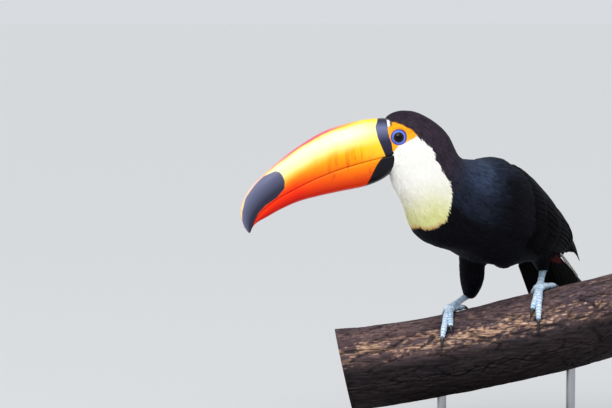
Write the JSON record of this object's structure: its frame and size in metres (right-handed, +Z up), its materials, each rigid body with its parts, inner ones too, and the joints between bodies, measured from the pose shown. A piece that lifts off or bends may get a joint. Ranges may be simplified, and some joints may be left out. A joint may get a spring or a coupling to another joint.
{
  "type": "toucan",
  "caption": "Life-size toco toucan gripping a short cut log, held by a flat display stand with rods.",
  "frame": {"origin": "centre of the underside of the stand's base, on the floor", "axes": "+Z up; +X along the log towards its higher end; -Y the side the bird's left flank faces; the bill points along -X"},
  "size_m": [0.4621, 0.2428, 0.375],
  "materials": {
    "plumage_black": "glossy black feathers",
    "plumage_cap": "brown-black feathers",
    "plumage_bib": "soft white feathers with a yellow tint below",
    "bill_upper": "smooth satin horn, orange-yellow with a dark tip",
    "bill_lower": "smooth satin horn, orange-red",
    "eye": "wet dark brown",
    "foot": "pale blue-grey scaled skin",
    "claw": "dark horn",
    "bark": "weathered dark brown wood",
    "base": "dark satin wood",
    "rod": "brushed"
  },
  "bodies": {
    "root": {"head": "plumage_cap", "neck": "plumage_bib", "trunk": "plumage_black", "wing_left": "plumage_black", "wing_right": "plumage_black", "tail": "plumage_black", "thigh_left": "plumage_black", "thigh_right": "plumage_black", "upper_bill": "bill_upper", "lower_bill": "bill_lower", "eye_left": "eye", "eye_right": "eye", "foot_left": "foot", "foot_right": "foot", "claw_left_1": "claw", "claw_left_2": "claw", "claw_left_3": "claw", "claw_left_4": "claw", "claw_right_1": "claw", "claw_right_2": "claw", "claw_right_3": "claw", "claw_right_4": "claw", "perch_log": "bark", "stand_base": "base", "stand_rod_left": "rod", "stand_rod_right": "rod"}
  },
  "joints": []
}
